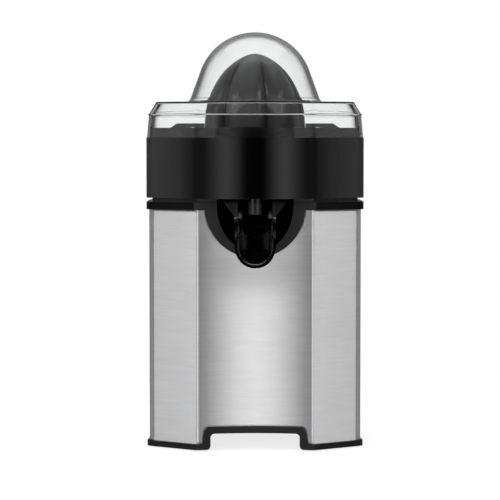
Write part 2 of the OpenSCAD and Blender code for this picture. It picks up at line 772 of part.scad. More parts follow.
module sloped_floor() {
    intersection() {
        slab(band(-bowl_wall / 2), band_z, 20);
        translate([-100, -bowl_r, band_z + floor_h]) rotate([floor_slope, 0, 0]) translate([0, 0, -40]) cube([200, 200, 40]);
    }
}
module juice_collector() {
    color("#151517") difference() {
        union() {
            tube(band(0), band(-bowl_wall), band_z, band_h);
            tube(band(0), soft_band(rim_out - rim_wall), step_z - ledge_h, ledge_h);
            tube(soft_band(rim_out), soft_band(rim_out - rim_wall), step_z - ledge_h, rim_rise + ledge_h);
            sloped_floor();
            intersection() {
                tube(housing(neck_in), housing(neck_in - bowl_wall), deck_z, groove_h + 1);
                slab(band(-bowl_wall / 2), deck_z, groove_h + 1);
            }
            rod([0, 0], centre_r + centre_wall, band_z, centre_top_z - band_z);
            ring([0, 0], hub_r + hub_wall, centre_r + centre_wall - 0.5, band_z, seat_z - band_z);
        }
        rod([0, 0], centre_r, deck_z - past, 100);
        rod([0, outlet_y], outlet_r, nozzle_z - past, 40);
        translate([-recess_a, -100, deck_z - past]) cube([2 * recess_a, 100 + recess_back, groove_h + past]);
    }
    // The nozzle, and the ears with their gussets, reach below the cut for the recess
    color("#151517") difference() {
        union() {
            rod([0, outlet_y], outlet_r + nozzle_wall, nozzle_z, band_z - nozzle_z + 1);
            both_sides() {
                side_cut(ear_in, ear_in + ear_thick) {
                    translate(pivot) circle(r = eye_r);
                    translate([pivot[0] - eye_r, pivot[1]]) square([2 * eye_r, band_z - pivot[1] + 1]);
                }
                upright(pivot[0] - gusset_thick / 2, pivot[0] + gusset_thick / 2)
                    polygon([[ear_in + ear_thick / 2, pivot[1]], [ear_in + ear_thick, pivot[1]],
                        [ear_in + ear_thick + gusset_w, band_z], [ear_in + ear_thick + gusset_w, band_z + 1],
                        [ear_in + ear_thick / 2, band_z + 1]]);
            }
        }
        rod([0, outlet_y], outlet_r, nozzle_z - past, 40);
        side_cut(-40, 40) translate(pivot) circle(r = pin_r);
    }
}
module spout_pins() {
    color("lightgray") both_sides() translate([0, pivot[0], pivot[1]]) rotate([0, 90, 0])
        translate([0, 0, ear_in - 3.2]) cylinder(r = pin_r, h = 3.2 + ear_thick);
}

// Spout: a sloped channel with a back wall and two arms on the pins
arm_thick = 2.6;
lip_low_z = pivot[1] - spout_drop;
channel_len = (spout_reach + pivot[0] + 6) / cos(spout_slope);
wall_top_z = pivot[1] - 6.2;
lip_wall_h = 20;
channel_r = spout_half - 0.6;
module channel_shape(shrink) {
    half = spout_half - shrink;
    r = channel_r - shrink;
    translate([0, shrink]) polygon(concat([[half, 60], [-half, 60]], arc([r - half, r], r, 180, 270, 8),
        arc([half - r, r], r, 270, 360, 8)));
}
module spout() {
    color("#18181b") difference() {
        union() {
            intersection() {
                translate([0, -spout_reach, lip_low_z]) rotate([90 + spout_slope, 0, 0]) translate([0, 0, -60])
                    linear_extrude(70) difference() {
                        channel_shape(0);
                        channel_shape(spout_wall);
                    }
                side_cut(-30, 30) spout_profile();
            }
            intersection() {
                translate([0, -spout_reach, lip_low_z]) rotate([90 + spout_slope, 0, 0]) translate([0, 0, -60])
                    linear_extrude(70) channel_shape(spout_wall / 2);
                side_cut(-30, 30) translate([pivot[0] + 3.4, 100]) square([2.2, wall_top_z - 100]);
            }
            both_sides() side_cut(spout_half - spout_wall - arm_thick + 0.4, spout_half - spout_wall + 0.4) {
                translate(pivot) circle(r = eye_r - 0.4);
                translate([pivot[0] - eye_r + 0.4, pivot[1] - 14]) square([2 * eye_r - 0.8, 14]);
            }
        }
        side_cut(-40, 40) translate(pivot) circle(r = pin_r + run_gap);
    }
}
// The spout's outline seen from the side
module spout_profile() {
    polygon([[-spout_reach, 60], [-spout_reach, lip_low_z + lip_wall_h], [pivot[0] - 8, wall_top_z],
        [pivot[0] + 5.6, wall_top_z], [pivot[0] + 5.6, 60]]);
}

// Pulp basket: rim, tapered wall, slotted floor and a hub that holds the selector
basket_wall = 2;
basket_low_r = basket_r - 3.4;
basket_floor = 2;
hub_top_z = centre_top_z + 3;
selector_in = hub_r + hub_wall + slide_gap;
lip_over = 1.4;
slot_from = selector_in + 3.5;
slot_to = basket_low_r - 4.5;
slot_w = 2.2;
module slots(z, h) {
    for (i = [0:slot_count - 1]) rotate([0, 0, (i + 0.5) * 360 / slot_count])
        translate([slot_from, -slot_w / 2, z]) cube([slot_to - slot_from, slot_w, h]);
}
module pulp_basket() {
    color("#141416") difference() {
        union() {
            rotate_extrude() polygon([[hub_r, basket_z], [basket_low_r, basket_z], [basket_r, rim_z],
                [basket_r - basket_wall, rim_z], [basket_low_r - basket_wall, basket_z + basket_floor],
                [hub_r, basket_z + basket_floor]]);
            ring([0, 0], hub_r + hub_wall, hub_r, seat_z, hub_top_z - seat_z);
            ring([0, 0], selector_in + lip_over, hub_r, seat_z, 0.9);
        }
        slots(basket_z - past, basket_floor + 2 * past);
    }
}

// Pulp selector: a slotted disc under the basket with two finger tabs at its rim
selector_z = basket_z - selector_h - 0.2;
tab_gap = 0.5;
tab_in = basket_r + tab_gap;
tab_thick = 2.4;
tab_w = 9;
tab_over = 9.4;
tab_hook = [3.6, 2.4];
tab_out = 13.6;
tab_h = 2.8;
tab_drop = 4;
tab_slant = [6.4, 4.2];
module finger_tab() {
    end = tab_in + tab_thick + tab_out;
    top = rim_z + tab_gap + tab_h;
    upright(-tab_w / 2, tab_w / 2) polygon([[tab_in - tab_over, rim_z - tab_hook.y],
        [tab_in - tab_hook.x, rim_z - tab_hook.y], [tab_in - tab_hook.x, rim_z + tab_gap], [tab_in, rim_z + tab_gap],
        [tab_in, selector_z], [tab_in + tab_thick, selector_z], [tab_in + tab_thick, rim_z - tab_drop],
        [end, rim_z - tab_drop], [end, top - tab_slant.y], [end - tab_slant.x, top], [tab_in - tab_over, top]]);
}
module pulp_selector() {
    color("#1a1a1d") difference() {
        union() {
            ring([0, 0], basket_low_r - 1, selector_in, selector_z, selector_h);
            for (s = [0, 180]) rotate([0, 0, s]) {
                translate([slot_to, -tab_w / 2, selector_z]) cube([tab_in + tab_thick - slot_to, tab_w, selector_h]);
                finger_tab();
            }
        }
        slots(selector_z - past, selector_h + 2 * past);
    }
}

// Coupling that sits on the spindle's hexagon and carries the reamer
coupling_z = hex_z + slide_gap;
coupling_top_z = hex_top_z + slide_gap + 2;
coupling_flat = 14;
coupling_foot = 2.6;
socket_top_z = coupling_top_z + 14;
module drive_coupling() {
    color("#8d8d92") difference() {
        union() {
            hexagon(coupling_flat, coupling_z, coupling_top_z - coupling_z);
            rod([0, 0], coupling_flat / 2 + 2.5, coupling_z, coupling_foot);
        }
        hexagon(hex_flat + slide_gap, coupling_z - past, hex_top_z + slide_gap - coupling_z + past);
        rod([0, 0], rod_r + loose_gap, coupling_z, 100);
    }
}

// Return spring between the coupling and the reamer, wound as one tube
spring_r = 5.2;
wire_r = 0.7;
coils = 5;
rings_per_coil = 10;
wire_sides = 6;
spring_low = coupling_top_z + wire_r + 0.15;
spring_high = socket_top_z - wire_r - 0.15;
module return_spring() {
    n = coils * rings_per_coil;
    points = [for (i = [0:n], k = [0:wire_sides - 1])
        let (a = i * 360 / rings_per_coil, b = k * 360 / wire_sides, r = spring_r + wire_r * cos(b))
        [r * cos(a), r * sin(a), spring_low + (spring_high - spring_low) * i / n + wire_r * sin(b)]];
    skin = [for (i = [0:n - 1], k = [0:wire_sides - 1])
        let (p = i * wire_sides + k, q = i * wire_sides + (k + 1) % wire_sides)
        each [[p, p + wire_sides, q], [q, p + wire_sides, q + wire_sides]]];
    first = [for (k = [0:wire_sides - 1]) k];
    last = [for (k = [wire_sides - 1:-1:0]) n * wire_sides + k];
    color("silver") polyhedron(points, concat(skin, [first, last]));
}
echo(spring_gap = (spring_high - spring_low) / coils - 2 * wire_r);

// Reamer: a hollow cone with six lobes and a six sided socket inside
reamer_z = coupling_z + 1;
reamer_wall = 2.6;
reamer_power = 0.6;
lobes = 6;
valley_turn = 15;
socket_z = coupling_z + coupling_foot + press_travel + 0.6;
boss_wall = 3;
function cone_r(h) = sin(90 * pow(min(1, h / (reamer_h * 0.74)), reamer_power)) * reamer_r * (0.985 + 0.015 * h / reamer_h);
function lobe(a, h) = 1 - valley * min(1, h / 14) * min(1, max(0.25, (reamer_h - h) / 22)) *
    pow(1 - abs(sin(lobes / 2 * (a - valley_turn + 90))), 2);
module reamer() {
    turns = 72;
    levels = [for (i = [0:11]) reamer_h * pow(i / 11, 1.5)];
    outer = [for (i = [1:11], k = [0:turns - 1])
        let (a = k * 360 / turns, r = cone_r(levels[i]) * lobe(a, levels[i]))
        [r * cos(a), r * sin(a), reamer_z + reamer_h - levels[i]]];
    inner = [for (i = [3:11], k = [0:turns - 1])
        let (a = k * 360 / turns, r = cone_r(levels[i]) * lobe(a, levels[i]) - reamer_wall * 1.2)
        [r * cos(a), r * sin(a), reamer_z + reamer_h - levels[i] - (i < 11 ? reamer_wall * 0.8 : 0)]];
    m = len(outer);
    tip = [0, 0, reamer_z + reamer_h];
    crown = [0, 0, inner[0].z];
    points = concat(outer, inner, [tip, crown]);
    function skin(base, rows, flip) = [for (i = [0:rows - 2], k = [0:turns - 1])
        let (p = base + i * turns + k, q = base + i * turns + (k + 1) % turns)
        each flip ? [[p, p + turns, q], [q, p + turns, q + turns]] : [[p, q, p + turns], [q, q + turns, p + turns]]];
    foot = [for (k = [0:turns - 1])
        let (p = 10 * turns + k, q = 10 * turns + (k + 1) % turns, u = m + 8 * turns + k, v = m + 8 * turns + (k + 1) % turns)
        each [[p, q, u], [q, v, u]]];
    top = [for (k = [0:turns - 1]) [(k + 1) % turns, k, m + len(inner)]];
    under = [for (k = [0:turns - 1]) [m + k, m + (k + 1) % turns, m + len(inner) + 1]];
    color("#1c1c1f") difference() {
        union() {
            polyhedron(points, concat(skin(0, 11, false), skin(m, 9, true), foot, top, under));
            rod([0, 0], coupling_flat / 2 / cos(30) + boss_wall, socket_z, reamer_z + reamer_h - 9 - socket_z);
        }
        hexagon(coupling_flat + 2 * slide_gap, socket_z - past, socket_top_z - socket_z + past);
    }
}

// Clear dust cover: skirt, slanted edge and shoulder, with a round dome
dome_low_r = basket_r + 4.6;
dome_c_z = dome_z - dome_r;
dome_lean = 20;
dome_flare = 5;
function cover_ring(e, z) = [for (p = soft_band(e)) [p.x, p.y, z]];
function dome_side(shrink, n) = let (r = dome_r - shrink,
        join = [r * cos(dome_lean), dome_c_z + r * sin(dome_lean)],
        foot_r = dome_low_r - shrink,
        foot_z = join.y - (foot_r - dome_flare * 0.6 - join.x) / tan(dome_lean))
    concat([for (i = [0:n]) let (a = 90 - (90 - dome_lean) * i / n) [r * cos(a), dome_c_z + r * sin(a)]],
        [[foot_r - dome_flare * 0.6, max(foot_z, shoulder_z + 2.5)], [foot_r - dome_flare * 0.25, shoulder_z + 1 - shrink * 0.3]]);
module dust_cover() {
    out_low = -cover_in;
    out_mid = out_low - skirt_draft;
    out_top = out_mid - slant_w;
    rings = [cover_ring(out_low, step_z), cover_ring(out_mid, slant_z), cover_ring(out_top, shoulder_z),
        cover_ring(out_top - cover_wall * 0.6, shoulder_z - cover_wall), cover_ring(out_mid - cover_wall, slant_z - cover_wall * 0.4),
        cover_ring(out_low - cover_wall, step_z)];
    n = len(rings[0]);
    points = [for (r = rings) each r];
    function wall(i, j) = [for (k = [0:n - 1])
        let (p = i * n + k, q = i * n + (k + 1) % n, u = j * n + k, v = j * n + (k + 1) % n)
        each [[p, u, q], [q, u, v]]];
    top = [for (k = [n - 1:-1:0]) 2 * n + k];
    ceiling = [for (k = [0:n - 1]) 3 * n + k];
    outside = dome_side(0, 14);
    within = dome_side(cover_wall, 14);
    color([0.85, 0.9, 0.92, 0.35]) {
        difference() {
            polyhedron(points, concat(wall(0, 1), wall(1, 2), wall(3, 4), wall(4, 5), wall(5, 0), [top, ceiling]));
            rod([0, 0], dome_low_r - 1, shoulder_z - 10, 40);
        }
        rotate_extrude() polygon(concat(outside, [[dome_low_r, shoulder_z], [dome_low_r, shoulder_z - cover_wall],
            [dome_low_r - cover_wall, shoulder_z - cover_wall]], [for (i = [len(within) - 1:-1:0]) within[i]]));
    }
}

steel_sleeve();
base_tray();
bottom_plate();
bottom_screws();
rubber_feet();
cord_gland();
terminal_block();
top_deck();
tie_rods();
chassis_plate();
chassis_screws();
stator_core();
coil_bobbins();
stator_coils();
rotor_strap();
stator_bolts();
rotor_bushes();
gear_case();
gear_case_cover();
gear_case_screws();
idler_pin();
spindle_bush_lower();
spindle_bush_upper();
shaft_seal();
switch_body();
switch_plunger();
rotor_magnet();
rotor_shaft();
motor_pinion();
idler_gear();
output_gear();
spindle();
spindle_clip();
push_rod();
juice_collector();
spout_pins();
spout();
pulp_basket();
pulp_selector();
drive_coupling();
return_spring();
reamer();
dust_cover();
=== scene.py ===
import json
import math

import bmesh
import bpy
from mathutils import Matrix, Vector


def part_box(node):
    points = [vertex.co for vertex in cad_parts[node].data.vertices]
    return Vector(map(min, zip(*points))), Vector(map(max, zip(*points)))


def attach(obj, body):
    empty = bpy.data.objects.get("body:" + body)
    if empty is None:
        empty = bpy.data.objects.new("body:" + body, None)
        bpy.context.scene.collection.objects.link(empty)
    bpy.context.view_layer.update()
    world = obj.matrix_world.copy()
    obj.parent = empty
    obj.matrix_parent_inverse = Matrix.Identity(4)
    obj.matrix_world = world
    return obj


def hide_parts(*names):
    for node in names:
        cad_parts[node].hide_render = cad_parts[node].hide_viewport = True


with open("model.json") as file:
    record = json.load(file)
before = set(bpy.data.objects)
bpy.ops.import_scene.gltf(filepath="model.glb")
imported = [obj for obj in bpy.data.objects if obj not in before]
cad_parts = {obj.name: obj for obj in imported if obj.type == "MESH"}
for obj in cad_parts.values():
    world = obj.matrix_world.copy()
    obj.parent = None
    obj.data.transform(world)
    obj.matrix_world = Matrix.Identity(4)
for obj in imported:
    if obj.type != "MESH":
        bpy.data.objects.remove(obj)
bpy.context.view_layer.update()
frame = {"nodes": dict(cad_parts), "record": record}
nodes = frame["nodes"]

# Camera. A long lens about a metre and a half away, a little above the middle of the juicer and tipped
# slightly down. It stands a few millimetres to the left, as the photograph's frame does.
LENS = 150
LENS_PLACE = (-0.0036, -1.5, 0.2163)
LENS_DIP = 2.91
camera_data = bpy.data.cameras.new("camera")
camera_data.lens = LENS
camera = bpy.data.objects.new("camera", camera_data)
bpy.context.scene.collection.objects.link(camera)
camera.location = LENS_PLACE
camera.rotation_euler = (math.radians(90 - LENS_DIP), 0, 0)
bpy.context.scene.camera = camera
bpy.context.scene.view_settings.view_transform = "Standard"


# Base tray. Black moulded plastic: the trim under the steel, the frame of the arch and the floor that
# carries the feet. Tie rods draw it and the deck together over the steel.
BASE_EDGE = 0.0004
SATIN_DARK = (0.0088, 0.0088, 0.00902, 1)
SATIN_PALE = (0.0132, 0.0132, 0.01375, 1)
SATIN_ROUGH = 0.36
SATIN_SHINE = 0.25
SATIN_CLOUD = (30, 30, 30)
MOULD_GRAIN = (2600, 2600, 2600)
MOULD_DEPTH = 0.00006
MERGE_GAP = 0.000002
FLAT_ANGLE = 0.5
MOULD_ANGLE = 32


class Value:
    """A shader socket. Sums, differences and products of it become Math nodes."""

    def __init__(self, tree, socket=None):
        self.tree = tree
        self.socket = socket

    def node(self, kind, settings, inputs, output=0):
        """Adds a node, sets it up, fills or links its sockets, and gives one of its outputs."""
        made = self.tree.nodes.new(kind)
        for key, setting in settings.items():
            setattr(made, key, setting)
        for key, given in inputs.items():
            if isinstance(given, Value):
                self.tree.links.new(given.socket, made.inputs[key])
            else:
                made.inputs[key].default_value = given
        return Value(self.tree, made.outputs[output] if len(made.outputs) else None)

    def math(self, operation, first, second):
        return self.node("ShaderNodeMath", {"operation": operation}, {0: first, 1: second})

    def __add__(self, other):
        return self.math("ADD", self, other)

    def __radd__(self, other):
        return self.math("ADD", other, self)

    def __sub__(self, other):
        return self.math("SUBTRACT", self, other)

    def __rsub__(self, other):
        return self.math("SUBTRACT", other, self)

    def __mul__(self, other):
        return self.math("MULTIPLY", self, other)

    def __rmul__(self, other):
        return self.math("MULTIPLY", other, self)

    def __abs__(self):
        return self.math("ABSOLUTE", self, 0)


def start_material(name):
    """A new material with an empty tree, and the point its patterns are drawn at."""
    material = bpy.data.materials.new(name)
    material.use_nodes = True
    material.node_tree.nodes.clear()
    tree = Value(material.node_tree)
    return material, tree, tree.node("ShaderNodeTexCoord", {}, {}, "Object")


def close_material(tree, sockets):
    """The finish itself, joined to the material's output."""
    shader = tree.node("ShaderNodeBsdfPrincipled", {}, sockets)
    tree.node("ShaderNodeOutputMaterial", {}, {"Surface": shader})


def noise(tree, point, scale, detail, roughness):
    """Noise drawn at a point, with its own scale along X, Y and Z."""
    spread = tree.node("ShaderNodeMapping", {}, {"Vector": point, "Scale": scale})
    return tree.node("ShaderNodeTexNoise", {}, {"Vector": spread, "Scale": 1.0, "Detail": detail,
                                                "Roughness": roughness}, "Fac")


def colours(tree, amount, low, high):
    """A colour between two colours, by an amount."""
    return tree.node("ShaderNodeMix", {"data_type": "RGBA"}, {"Factor": amount, 6: low, 7: high}, 2)


def relief(tree, height, strength, distance):
    """A fine relief on the surface, from a height."""
    return tree.node("ShaderNodeBump", {}, {"Height": height, "Strength": strength, "Distance": distance})


def satin_black():
    """Black with the fine grain of a mould and a faint cloud."""
    material, tree, point = start_material("satin_black")
    grain = noise(tree, point, MOULD_GRAIN, 2.0, 0.5)
    cloud = noise(tree, point, SATIN_CLOUD, 3.0, 0.5)
    close_material(tree, {
        "Base Color": colours(tree, cloud, SATIN_DARK, SATIN_PALE),
        "Roughness": SATIN_ROUGH + (cloud - 0.5) * 0.1,
        "Specular IOR Level": SATIN_SHINE,
        "Normal": relief(tree, grain, 0.12, MOULD_DEPTH),
    })
    return material


def pick(piece):
    """Makes a piece the only one selected, and the active one."""
    bpy.ops.object.select_all(action="DESELECT")
    bpy.context.view_layer.objects.active = piece
    piece.select_set(True)


def change_shape(piece, kind, settings):
    """Adds a modifier to the picked piece, sets it up and applies it."""
    change = piece.modifiers.new("change", kind)
    for key, setting in settings.items():
        setattr(change, key, setting)
    bpy.ops.object.modifier_apply(modifier=change.name)


def even_shading(piece, angle):
    """Smooth shading up to an angle, in which the large faces stay flat."""
    pick(piece)
    bpy.ops.object.shade_smooth_by_angle(angle=math.radians(angle))
    change_shape(piece, "WEIGHTED_NORMAL", {"weight": 100, "keep_sharp": True})
    return piece


def moulded_copy(name, node, round_edges, detail=None):
    """A piece on a node's own shape, merged, with its edges rounded and its curves shaded smooth."""
    piece = bpy.data.objects.new(name, nodes[node].data.copy())
    bpy.context.scene.collection.objects.link(piece)
    pick(piece)
    bpy.ops.object.mode_set(mode="EDIT")
    bpy.ops.mesh.select_mode(type="VERT")
    bpy.ops.mesh.select_all(action="SELECT")
    bpy.ops.mesh.remove_doubles(threshold=MERGE_GAP)
    bpy.ops.mesh.dissolve_limited(angle_limit=math.radians(FLAT_ANGLE))
    if detail:
        detail(piece)
    bpy.ops.object.mode_set(mode="OBJECT")
    change_shape(piece, "BEVEL", {"width": round_edges, "segments": 2, "limit_method": "ANGLE",
                                  "angle_limit": math.radians(MOULD_ANGLE)})
    return even_shading(piece, MOULD_ANGLE)


def finish_piece(piece, material, body, slot, *replaced):
    """Gives a piece its material and its body, and hides the nodes it stands for. The slot is not used."""
    piece.data.materials.clear()
    piece.data.materials.append(material)
    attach(piece, body)
    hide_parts(*replaced)


satin = satin_black()
base_trim = moulded_copy("base_trim", "base_tray", BASE_EDGE)
finish_piece(base_trim, satin, "base", "black_satin", "base_tray")


# Brushed steel wrap. One sheet of stainless steel, brushed across, bent round the housing with a shallow
# scoop in front. It is cut out for the arch, the spout's recess and the lead, and is held between the base
# tray and the deck.
STEEL_STREAKS = (60, 60, 1000)
STEEL_BANDS = (20, 20, 260)
STEEL_CLOUD = (40, 40, 28)
STEEL_DARK = (0.63, 0.63, 0.64, 1)
STEEL_PALE = (0.94, 0.94, 0.95, 1)
STEEL_ROUGH = 0.35
STEEL_DEPTH = 0.00005
SHEET = 0.0008
HALF_WIDTH = 0.0755
FRONT_REACH = 0.0345
BACK_REACH = 0.0747
SCOOP_HALF = 0.041
SCOOP_DEPTH = 0.006
SCOOP_R = (SCOOP_HALF ** 2 + SCOOP_DEPTH ** 2) / (2 * SCOOP_DEPTH)
SCOOP_CENTRE = Vector((0, -(FRONT_REACH + SCOOP_R)))
SCOOP_STEPS = 24
PANEL_ANGLE = math.radians(33.5)
ARRIS = Vector((SCOOP_HALF, -(FRONT_REACH + SCOOP_DEPTH)))
ARRIS_R = 0.003
ARRIS_LEAST_R = 0.0006
ARRIS_STEPS = 8
ALONG = Vector((math.cos(PANEL_ANGLE), math.sin(PANEL_ANGLE)))
OUTWARD = Vector((math.sin(PANEL_ANGLE), -math.cos(PANEL_ANGLE)))
OUTWARD_ANGLE = PANEL_ANGLE - math.pi / 2
SIDE_CORNER_R = 0.0085
SIDE_CORNER_STEPS = 10
REAR_CORNER_R = 0.036
REAR_CORNER_STEPS = 20
STRETCH_STEPS = 6
APRON_LIFT = 0.0012
APRON_CUT_R = 0.0334
APRON_STEPS = 96
ARCH_TOP = 0.0169
ARCH_HALF = 0.0355
ARCH_FLARE = 0.002
ARCH_CORNER = 0.002
GLAND_HALF = 0.013
GLAND_TOP = 0.0366
CUT_GAP = 0.00015
FRONT_CUT = (-0.09, 0)
REAR_CUT = (0.05, 0.1)
SKIN_GAP = 0.000001
SHEET_ANGLE = 30


def brushed_steel():
    """Steel with short streaks along the brushing and a faint cloud. Its sheen spreads across them."""
    material, tree, point = start_material("brushed_steel")
    streaks = noise(tree, point, STEEL_STREAKS, 4.0, 0.7)
    bands = noise(tree, point, STEEL_BANDS, 3.0, 0.6)
    cloud = noise(tree, point, STEEL_CLOUD, 2.0, 0.5)
    grain = streaks * 0.5 + bands * 0.2 + cloud * 0.3
    close_material(tree, {
        "Base Color": colours(tree, grain, STEEL_DARK, STEEL_PALE),
        "Metallic": 1.0,
        "Roughness": STEEL_ROUGH + grain * 0.1,
        "Anisotropic": 1.0,
        "Anisotropic Rotation": 0.25,
        "Normal": relief(tree, streaks, 0.08, STEEL_DEPTH),
    })
    return material


def arc(centre, radius, start, end, steps):
    """Points of an arc, both ends included."""
    turns = [start + (end - start) * i / steps for i in range(steps + 1)]
    return [Vector((centre[0] + radius * math.cos(a), centre[1] + radius * math.sin(a))) for a in turns]


def stretch(start, end):
    """Points between two ends of a straight stretch, the ends left out."""
    return [start.lerp(end, i / STRETCH_STEPS) for i in range(1, STRETCH_STEPS)]


def along_panel(point, centre, distance):
    """How far along the slanted panel a point gets to that distance from a centre."""
    to_point = point - centre
    k = to_point.dot(ALONG)
    return math.sqrt(k * k - to_point.length_squared + distance ** 2) - k


def sides_and_rear(offset):
    """The right half's corner, side, rear corner and half of the rear, at an offset from the steel."""
    front_x = HALF_WIDTH - SIDE_CORNER_R
    front_y = ARRIS.y + ((front_x - ARRIS.x) * OUTWARD.x + SIDE_CORNER_R) / -OUTWARD.y
    rear_x = HALF_WIDTH - REAR_CORNER_R
    rear_y = BACK_REACH - REAR_CORNER_R
    side_x = HALF_WIDTH + offset
    back_y = BACK_REACH + offset
    corner = arc((front_x, front_y), SIDE_CORNER_R + offset, OUTWARD_ANGLE, 0, SIDE_CORNER_STEPS)
    side = stretch(Vector((side_x, front_y)), Vector((side_x, rear_y)))
    rear = arc((rear_x, rear_y), REAR_CORNER_R + offset, 0, math.pi / 2, REAR_CORNER_STEPS)
    return corner + side + rear + stretch(Vector((rear_x, back_y)), Vector((0, back_y)))


def both_halves(front, half, rear):
    """A whole outline from its front point, its right half and its rear point."""
    return [front] + half + [rear] + [Vector((-p.x, p.y)) for p in reversed(half)]


def housing_outline(offset):
    """The scooped outline of the steel, at an offset from its outer face."""
    bend = max(ARRIS_R + offset, ARRIS_LEAST_R)
    start = ARRIS - (bend - offset) * OUTWARD
    centre = start + along_panel(start, SCOOP_CENTRE, SCOOP_R + bend - offset) * ALONG
    meet = math.atan2(centre.y - SCOOP_CENTRE.y, centre.x)
    scoop = arc(SCOOP_CENTRE, SCOOP_R - offset, math.pi / 2, meet, SCOOP_STEPS)[1:-1]
    edge = arc(centre, bend, meet - math.pi, OUTWARD_ANGLE, ARRIS_STEPS)
    rest = sides_and_rear(offset)
    half = scoop + edge + stretch(edge[-1], rest[0]) + rest
    return both_halves(Vector((0, -FRONT_REACH - offset)), half, Vector((0, BACK_REACH + offset)))


def loft(name, rings):
    """A skin drawn by extruding one ring of points from place to place. The rings have as many points."""
    bpy.ops.object.select_all(action="DESELECT")
    bpy.ops.mesh.primitive_circle_add(vertices=len(rings[0]), radius=0.01)
    piece = bpy.context.object
    piece.name = name
    piece.data.name = name
    bpy.ops.object.mode_set(mode="EDIT")
    shape = bmesh.from_edit_mesh(piece.data)
    place = shape.verts.layers.int.new("place")
    for i, corner in enumerate(shape.verts):
        corner[place] = i
        corner.co = rings[0][i]
    for ring in rings[1:]:
        bpy.ops.mesh.select_mode(type="VERT")
        bpy.ops.mesh.extrude_region_move()
        shape = bmesh.from_edit_mesh(piece.data)
        place = shape.verts.layers.int["place"]
        for corner in shape.verts:
            if corner.select:
                corner.co = ring[corner[place]]
    bmesh.update_edit_mesh(piece.data)
    return piece


def close_skin(piece, fill_ends=False, angle=35):
    """Fills the open ends if asked, merges what meets, turns the faces out and shades them."""
    shape = bmesh.from_edit_mesh(piece.data)
    if fill_ends:
        bpy.ops.mesh.select_all(action="DESELECT")
        bpy.ops.mesh.select_mode(type="EDGE")
        for edge in shape.edges:
            edge.select = edge.is_boundary
        shape.select_flush_mode()
        bpy.ops.mesh.edge_face_add()
    bpy.ops.mesh.select_mode(type="VERT")
    bpy.ops.mesh.select_all(action="SELECT")
    bpy.ops.mesh.remove_doubles(threshold=SKIN_GAP)
    bpy.ops.mesh.normals_make_consistent(inside=False)
    bpy.ops.object.mode_set(mode="OBJECT")
    piece.data.attributes.remove(piece.data.attributes["place"])
    return even_shading(piece, angle)


def upright_ring(outline, z):
    """An outline lifted to a height."""
    return [Vector((p.x, p.y, z)) for p in outline]


def prism(name, shape, depths):
    """A solid between two values of Y, from a shape drawn in X and Z."""
    rings = [[Vector((x, y, z)) for x, z in shape] for y in depths]
    return close_skin(loft(name, rings), fill_ends=True)


def cut_away(piece, cutters):
    """Cuts solids out of a piece and removes them."""
    for cutter in cutters:
        pick(piece)
        change_shape(piece, "BOOLEAN", {"operation": "DIFFERENCE", "solver": "EXACT", "object": cutter})
        bpy.data.objects.remove(cutter)
    return even_shading(piece, SHEET_ANGLE)


sleeve_low, sleeve_high = (corner.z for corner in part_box("steel_sleeve"))
outer_line = housing_outline(0)
inner_line = housing_outline(-SHEET)
sleeve = close_skin(loft("steel_wrap", [
    upright_ring(outer_line, sleeve_low), upright_ring(outer_line, sleeve_high),
    upright_ring(inner_line, sleeve_high), upright_ring(inner_line, sleeve_low),
    upright_ring(outer_line, sleeve_low)]))
arch_foot = ARCH_HALF + ARCH_FLARE
arch_side = ARCH_TOP - ARCH_CORNER
arch_roof = ARCH_TOP + CUT_GAP
arch_cut = prism("arch_cut", [
    (-arch_foot, 0), (arch_foot, 0), (ARCH_HALF, arch_side), (ARCH_HALF - ARCH_CORNER, arch_roof),
    (ARCH_CORNER - ARCH_HALF, arch_roof), (-ARCH_HALF, arch_side)], FRONT_CUT)
apron_ring = arc((0, sleeve_high + APRON_LIFT), APRON_CUT_R, 0, 2 * math.pi, APRON_STEPS)[:-1]
apron_cut = prism("apron_cut", [(p.x, p.y) for p in apron_ring], FRONT_CUT)
gland_side = GLAND_HALF + CUT_GAP
gland_roof = GLAND_TOP + CUT_GAP
gland_cut = prism("gland_cut", [
    (-gland_side, 0), (gland_side, 0), (gland_side, gland_roof), (-gland_side, gland_roof)], REAR_CUT)
cut_away(sleeve, [arch_cut, apron_cut, gland_cut])
finish_piece(sleeve, brushed_steel(), "base", "steel_sheet", "steel_sleeve")


# Deck. Black moulded plastic: the lip over the steel, the apron with its recess, and the tube round the
# spindle. It closes the housing and carries the motor's plate on posts below it.
DECK_EDGE = 0.0004
APRON_BLACK = (0.016, 0.016, 0.017, 1)
APRON_ROUGH = 0.4
# Painted shade: the recess is coloured darker than the apron.
RECESS_PAINTED_SHADE = (0.0015, 0.0015, 0.0016, 1)
RECESS_POLISH = 0.32
RECESS_FRONT = -0.0358
RECESS_FADE = 0.001
RECESS_CURVE = 3.5
DECK_SHINE = 0.3


def along(tree, vector, axis):
    """The part of a vector along X, Y or Z."""
    return tree.node("ShaderNodeSeparateXYZ", {}, {0: vector}, axis)


def ramp(tree, amount, start, end, kind="LINEAR"):
    """A rise from 0 to 1 between two values."""
    return tree.node("ShaderNodeMapRange", {"interpolation_type": kind},
                     {"Value": amount, "From Min": start, "From Max": end})


def deck_black():
    """Satin black on the apron and lip, and polished black with painted shade inside the recess."""
    material, tree, point = start_material("deck_black")
    grain = noise(tree, point, MOULD_GRAIN, 2.0, 0.5)
    across = along(tree, point, "X")
    back = along(tree, point, "Y") + across * across * RECESS_CURVE
    inside = ramp(tree, back, RECESS_FRONT, RECESS_FRONT + RECESS_FADE)
    close_material(tree, {
        "Base Color": colours(tree, inside, APRON_BLACK, RECESS_PAINTED_SHADE),
        "Roughness": APRON_ROUGH - inside * RECESS_POLISH,
        "Specular IOR Level": DECK_SHINE,
        "Normal": relief(tree, grain, 0.1, MOULD_DEPTH),
    })
    return material


deck = moulded_copy("deck", "top_deck", DECK_EDGE)
finish_piece(deck, deck_black(), "base", "black_satin", "top_deck")


